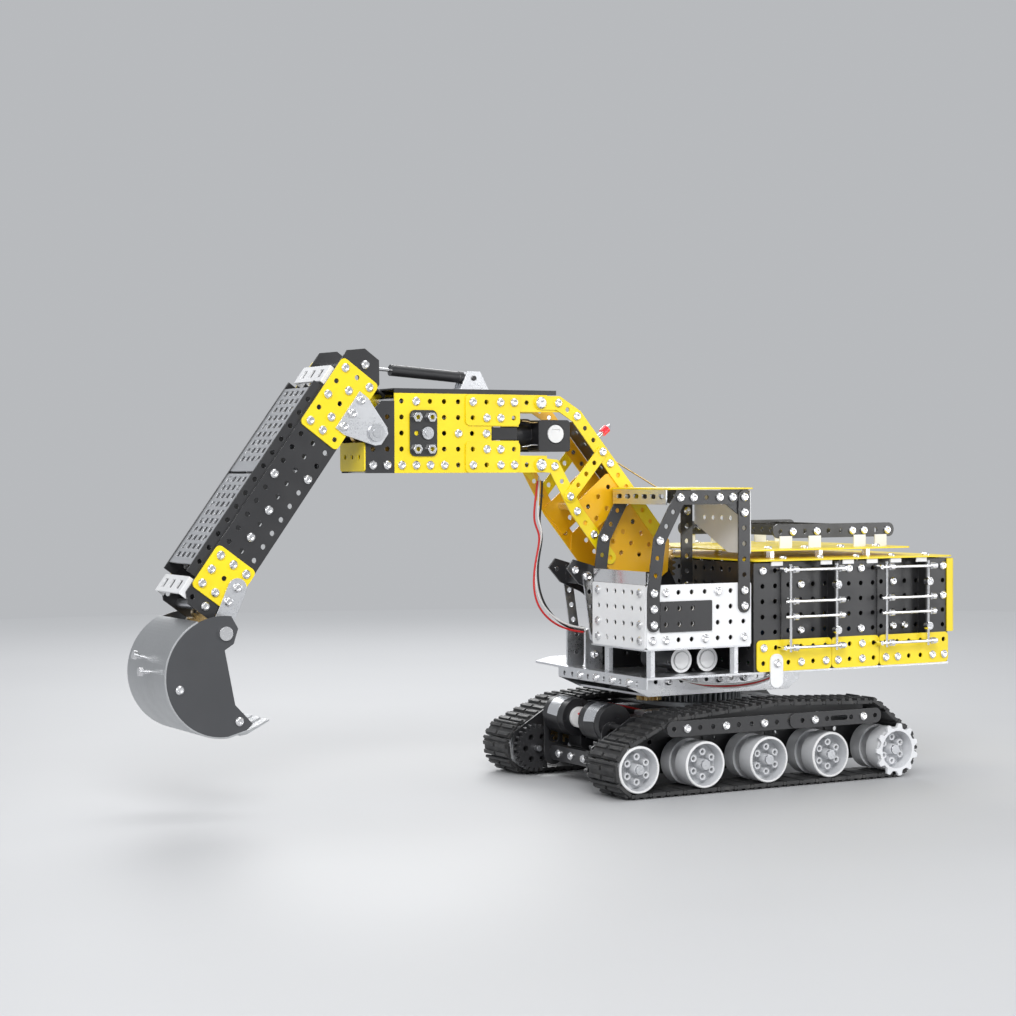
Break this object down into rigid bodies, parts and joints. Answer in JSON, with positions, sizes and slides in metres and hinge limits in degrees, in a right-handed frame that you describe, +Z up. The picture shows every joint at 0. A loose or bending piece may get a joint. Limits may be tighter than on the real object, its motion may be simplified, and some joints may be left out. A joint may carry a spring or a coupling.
{
  "type": "rc excavator",
  "caption": "Radio-controlled tracked excavator of bolted perforated plates: geared slewing platform with cab and engine box, motor-lifted boom, hinged stick and toothed bucket.",
  "frame": {"origin": "on the ground under the slewing axis", "axes": "+X forward towards the bucket, +Y left (cab side), +Z up along the slewing axis"},
  "size_m": [0.5587, 0.1954, 0.2831],
  "materials": {
    "black_plate": "satin",
    "yellow_plate": "satin",
    "white_plate": "satin",
    "silver_plate": "satin",
    "grey_plate": "satin",
    "steel": "satin",
    "nickel": "polished",
    "chrome_rod": "polished",
    "brass": "satin",
    "track_plastic": "matte",
    "motor_plastic": "satin",
    "wheel_plastic": "satin",
    "red_plastic": "gloss"
  },
  "bodies": {
    "chassis": {"chassis": "black_plate", "track_rails": "black_plate", "axle_set": "steel", "left_track": "track_plastic", "right_track": "track_plastic", "drive_motors": "motor_plastic", "turntable": "steel", "chassis_screws": "nickel"},
    "left_wheel_1": {"left_wheel_1": "wheel_plastic"},
    "left_wheel_2": {"left_wheel_2": "wheel_plastic"},
    "left_wheel_3": {"left_wheel_3": "wheel_plastic"},
    "left_sprocket": {"left_sprocket": "wheel_plastic"},
    "left_drive_wheel": {"left_drive_wheel": "wheel_plastic"},
    "left_drive_pinion": {"left_drive_pinion": "brass"},
    "right_wheel_1": {"right_wheel_1": "wheel_plastic"},
    "right_wheel_2": {"right_wheel_2": "wheel_plastic"},
    "right_wheel_3": {"right_wheel_3": "wheel_plastic"},
    "right_sprocket": {"right_sprocket": "wheel_plastic"},
    "right_drive_wheel": {"right_drive_wheel": "wheel_plastic"},
    "right_drive_pinion": {"right_drive_pinion": "brass"},
    "slew_pinion": {"slew_pinion": "brass"},
    "platform": {"platform_motors": "motor_plastic", "turntable_frame": "steel", "deck_plate": "silver_plate", "pedestal": "black_plate", "cab_silver_parts": "silver_plate", "cab_panels": "white_plate", "cab_frame": "black_plate", "cab_roof": "yellow_plate", "seat_and_levers": "motor_plastic", "engine_plates": "black_plate", "engine_yellow_panels": "yellow_plate", "engine_covers": "yellow_plate", "angle_brackets": "white_plate", "roof_rack": "black_plate", "rod_grilles": "chrome_rod", "power_and_radio": "motor_plastic", "platform_screws": "nickel"},
    "lift_pinion": {"lift_pinion": "brass"},
    "boom": {"boom_side_plates": "yellow_plate", "boom_strips": "yellow_plate", "boom_black_plates": "black_plate", "boom_silver_parts": "silver_plate", "elbow_motor": "motor_plastic", "boom_pivot": "steel", "beacon_and_aerial": "red_plastic", "boom_screws": "nickel"},
    "stick_shaft": {"stick_shaft": "steel"},
    "ram_barrel": {"ram_barrel": "black_plate"},
    "ram_rod": {"ram_rod": "steel"},
    "stick": {"stick_black_plates": "black_plate", "stick_yellow_plates": "yellow_plate", "stick_silver_parts": "silver_plate", "stick_pivot": "steel", "bucket_motor": "motor_plastic", "stick_screws": "nickel"},
    "bucket_pinion": {"bucket_pinion": "brass"},
    "bucket": {"bucket_sides": "grey_plate", "bucket_bowl": "grey_plate", "bucket_pivot": "steel"}
  },
  "joints": [
    {"name": "left_drive", "type": "hinge", "parent": "chassis", "child": "left_drive_wheel", "pos_m": [0.1, 0.07, 0.019], "axis": [0, 1, 0], "continuous": true},
    {"name": "left_wheel_1_spin", "type": "hinge", "parent": "chassis", "child": "left_wheel_1", "pos_m": [0.05, 0.07, 0.019], "axis": [0, 1, 0], "continuous": true},
    {"name": "left_wheel_2_spin", "type": "hinge", "parent": "chassis", "child": "left_wheel_2", "pos_m": [0, 0.07, 0.019], "axis": [0, 1, 0], "continuous": true},
    {"name": "left_wheel_3_spin", "type": "hinge", "parent": "chassis", "child": "left_wheel_3", "pos_m": [-0.05, 0.07, 0.019], "axis": [0, 1, 0], "continuous": true},
    {"name": "left_sprocket_spin", "type": "hinge", "parent": "chassis", "child": "left_sprocket", "pos_m": [-0.104, 0.07, 0.019], "axis": [0, 1, 0], "continuous": true},
    {"name": "left_pinion_spin", "type": "hinge", "parent": "chassis", "child": "left_drive_pinion", "pos_m": [0.08051, 0.0455, 0.03025], "axis": [0, 1, 0], "continuous": true},
    {"name": "right_drive", "type": "hinge", "parent": "chassis", "child": "right_drive_wheel", "pos_m": [0.1, -0.07, 0.019], "axis": [0, 1, 0], "continuous": true},
    {"name": "right_wheel_1_spin", "type": "hinge", "parent": "chassis", "child": "right_wheel_1", "pos_m": [0.05, -0.07, 0.019], "axis": [0, 1, 0], "continuous": true},
    {"name": "right_wheel_2_spin", "type": "hinge", "parent": "chassis", "child": "right_wheel_2", "pos_m": [0, -0.07, 0.019], "axis": [0, 1, 0], "continuous": true},
    {"name": "right_wheel_3_spin", "type": "hinge", "parent": "chassis", "child": "right_wheel_3", "pos_m": [-0.05, -0.07, 0.019], "axis": [0, 1, 0], "continuous": true},
    {"name": "right_sprocket_spin", "type": "hinge", "parent": "chassis", "child": "right_sprocket", "pos_m": [-0.104, -0.07, 0.019], "axis": [0, 1, 0], "continuous": true},
    {"name": "right_pinion_spin", "type": "hinge", "parent": "chassis", "child": "right_drive_pinion", "pos_m": [0.08051, -0.0455, 0.03025], "axis": [0, 1, 0], "continuous": true},
    {"name": "slew", "type": "hinge", "parent": "chassis", "child": "platform", "pos_m": [0, 0, 0.06], "axis": [0, 0, 1], "continuous": true},
    {"name": "slew_pinion_spin", "type": "hinge", "parent": "platform", "child": "slew_pinion", "pos_m": [0.0375, 0, 0.055], "axis": [0, 0, 1], "continuous": true},
    {"name": "boom_lift", "type": "hinge", "parent": "platform", "child": "boom", "pos_m": [0.044, 0, 0.143], "axis": [0, -1, 0], "range_deg": [-15, 36]},
    {"name": "lift_pinion_spin", "type": "hinge", "parent": "platform", "child": "lift_pinion", "pos_m": [0.06857, 0, 0.12579], "axis": [0, -1, 0], "range_deg": [-110, 48]},
    {"name": "stick_hinge", "type": "hinge", "parent": "boom", "child": "stick", "pos_m": [0.252, 0, 0.231], "axis": [0, -1, 0], "range_deg": [-30, 30]},
    {"name": "stick_shaft_spin", "type": "hinge", "parent": "boom", "child": "stick_shaft", "pos_m": [0.2145, 0, 0.231], "axis": [0, -1, 0], "range_deg": [-46, 46]},
    {"name": "ram_swing", "type": "hinge", "parent": "boom", "child": "ram_barrel", "pos_m": [0.174, 0, 0.2666], "axis": [0, -1, 0], "range_deg": [-3.5, 3.5]},
    {"name": "ram_stroke", "type": "slide", "parent": "ram_barrel", "child": "ram_rod", "axis": [0.9972, 0, 0.0743], "range_m": [-0.0217, 0.0217]},
    {"name": "bucket_hinge", "type": "hinge", "parent": "stick", "child": "bucket", "pos_m": [0.3562, 0, 0.1114], "axis": [0, -1, 0], "range_deg": [-70, 20]},
    {"name": "bucket_pinion_spin", "type": "hinge", "parent": "stick", "child": "bucket_pinion", "pos_m": [0.35068, 0, 0.13063], "axis": [0, -1, 0], "range_deg": [-35, 118]}
  ],
  "couplings": [
    {"joint": "left_wheel_1_spin", "follows": "left_drive", "ratio": 1},
    {"joint": "left_wheel_2_spin", "follows": "left_drive", "ratio": 1},
    {"joint": "left_wheel_3_spin", "follows": "left_drive", "ratio": 1},
    {"joint": "left_sprocket_spin", "follows": "left_drive", "ratio": 1},
    {"joint": "left_pinion_spin", "follows": "left_drive", "ratio": -2},
    {"joint": "right_wheel_1_spin", "follows": "right_drive", "ratio": 1},
    {"joint": "right_wheel_2_spin", "follows": "right_drive", "ratio": 1},
    {"joint": "right_wheel_3_spin", "follows": "right_drive", "ratio": 1},
    {"joint": "right_sprocket_spin", "follows": "right_drive", "ratio": 1},
    {"joint": "right_pinion_spin", "follows": "right_drive", "ratio": -2},
    {"joint": "slew_pinion_spin", "follows": "slew", "ratio": 4},
    {"joint": "lift_pinion_spin", "follows": "boom_lift", "ratio": -3},
    {"joint": "stick_shaft_spin", "follows": "stick_hinge", "ratio": -1.5},
    {"joint": "ram_swing", "follows": "stick_hinge", "ratio": 0.11},
    {"joint": "ram_stroke", "follows": "stick_hinge", "m_per_rad": -0.04125},
    {"joint": "bucket_pinion_spin", "follows": "bucket_hinge", "ratio": -1.6667}
  ]
}
